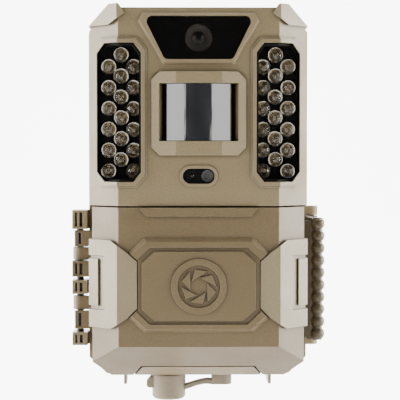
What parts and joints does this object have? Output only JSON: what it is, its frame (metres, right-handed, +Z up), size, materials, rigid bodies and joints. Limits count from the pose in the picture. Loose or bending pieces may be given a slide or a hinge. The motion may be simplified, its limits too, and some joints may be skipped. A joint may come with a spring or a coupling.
{
  "type": "trail camera",
  "caption": "Trail camera with infrared LED windows, motion sensor, hinged lower door with side latch, slide-out battery tray and rear strap rails.",
  "frame": {"origin": "centre of the mouth of the quarter-inch tripod socket at the back", "axes": "+X to the right of someone facing the lens, +Y out of the back towards the tree, +Z up"},
  "size_m": [0.0847, 0.0794, 0.1317],
  "materials": {
    "case_tan": "fine moulded texture",
    "door_tan": "fine moulded texture",
    "trim_tan": "satin moulded plastic",
    "grip_olive": "satin moulded plastic",
    "dark_plastic": "matt black plastic",
    "window_black": "gloss tinted acrylic",
    "lens_black": "anodised black",
    "lens_glass": "coated glass",
    "led_clear": "clear epoxy",
    "fresnel_white": "polyethylene, gloss",
    "seal_rubber": "silicone",
    "cover_rubber": "soft rubber",
    "circuit_board": "solder mask",
    "sensor_steel": "nickel plated",
    "steel": "zinc plated",
    "brass": "machined",
    "lcd_cover": "clear acrylic",
    "lcd_display": "reflective LCD",
    "key_grey": "silicone keys",
    "key_ok": "silicone key",
    "cell_wrap": "printed shrink sleeve, plain",
    "card_plastic": "fine matt plastic"
  },
  "bodies": {
    "camera": {"rear_shell": "case_tan", "front_housing": "case_tan", "shell_gasket": "seal_rubber", "corner_guards": "trim_tan", "lens_window": "window_black", "lens_hood": "dark_plastic", "lens_barrel": "lens_black", "lens_front_glass": "lens_glass", "lens_holder": "dark_plastic", "image_sensor_board": "circuit_board", "led_holder_left": "dark_plastic", "led_holder_right": "dark_plastic", "ir_leds_left": "led_clear", "ir_leds_right": "led_clear", "led_boards": "circuit_board", "bracket_rail_left": "case_tan", "bracket_rail_right": "case_tan", "pir_bezel": "case_tan", "pir_fresnel_lens": "fresnel_white", "pir_holder": "dark_plastic", "pir_sensor": "sensor_steel", "indicator_window": "window_black", "indicator_led": "led_clear", "light_sensor": "lens_black", "main_board": "circuit_board", "board_chips": "dark_plastic", "tripod_insert": "brass", "shell_screws": "steel", "bay_gasket": "seal_rubber", "control_panel": "dark_plastic", "panel_switches": "dark_plastic", "control_board": "circuit_board", "lcd_window": "lcd_cover", "lcd_panel": "lcd_display", "sd_socket": "steel", "usb_port": "steel", "dc_jack": "dark_plastic", "battery_bay": "dark_plastic", "hinge_pin": "steel", "latch_pin": "steel", "port_cover_anchor": "cover_rubber"},
    "door": {"door_shell": "door_tan", "door_center_plate": "door_tan", "door_side_grips": "trim_tan", "door_badge": "door_tan", "door_liner": "dark_plastic"},
    "latch": {"latch_lever": "grip_olive", "latch_grip": "grip_olive"},
    "battery_tray": {"battery_tray": "dark_plastic", "aa_cells": "cell_wrap", "battery_contacts": "steel"},
    "tray_catch": {"tray_catch": "grip_olive"},
    "port_cover": {"port_cover": "cover_rubber"},
    "sd_card": {"sd_card": "card_plastic"},
    "mode_switch": {"mode_switch_knob": "key_grey"},
    "button_up": {"button_up": "key_grey"},
    "button_down": {"button_down": "key_grey"},
    "button_left": {"button_left": "key_grey"},
    "button_right": {"button_right": "key_grey"},
    "button_ok": {"button_ok": "key_ok"}
  },
  "joints": [
    {"name": "door_hinge", "type": "hinge", "parent": "camera", "child": "door", "pos_m": [-0.0396, -0.056, -0.0367], "axis": [0, 0, -1], "range_deg": [0, 115]},
    {"name": "latch_pivot", "type": "hinge", "parent": "camera", "child": "latch", "pos_m": [0.0394, -0.044, -0.0347], "axis": [0, 0, 1], "range_deg": [0, 80]},
    {"name": "battery_tray_slide", "type": "slide", "parent": "camera", "child": "battery_tray", "axis": [0, 0, -1], "range_m": [0, 0.058]},
    {"name": "tray_catch_slide", "type": "slide", "parent": "battery_tray", "child": "tray_catch", "axis": [0, 1, 0], "range_m": [0, 0.0012], "stiffness_N_per_m": 400},
    {"name": "port_cover_flex", "type": "hinge", "parent": "camera", "child": "port_cover", "pos_m": [0.00465, -0.0516, -0.0709], "axis": [0, -1, 0], "range_deg": [0, 100]},
    {"name": "sd_card_slide", "type": "slide", "parent": "camera", "child": "sd_card", "axis": [0, -1, 0], "range_m": [-0.001, 0.005]},
    {"name": "mode_switch_slide", "type": "slide", "parent": "camera", "child": "mode_switch", "axis": [0, 0, 1], "range_m": [-0.003, 0.003]},
    {"name": "button_up_press", "type": "slide", "parent": "camera", "child": "button_up", "axis": [0, 1, 0], "range_m": [0, 0.0006], "stiffness_N_per_m": 400},
    {"name": "button_down_press", "type": "slide", "parent": "camera", "child": "button_down", "axis": [0, 1, 0], "range_m": [0, 0.0006], "stiffness_N_per_m": 400},
    {"name": "button_left_press", "type": "slide", "parent": "camera", "child": "button_left", "axis": [0, 1, 0], "range_m": [0, 0.0006], "stiffness_N_per_m": 400},
    {"name": "button_right_press", "type": "slide", "parent": "camera", "child": "button_right", "axis": [0, 1, 0], "range_m": [0, 0.0006], "stiffness_N_per_m": 400},
    {"name": "button_ok_press", "type": "slide", "parent": "camera", "child": "button_ok", "axis": [0, 1, 0], "range_m": [0, 0.0006], "stiffness_N_per_m": 400}
  ]
}
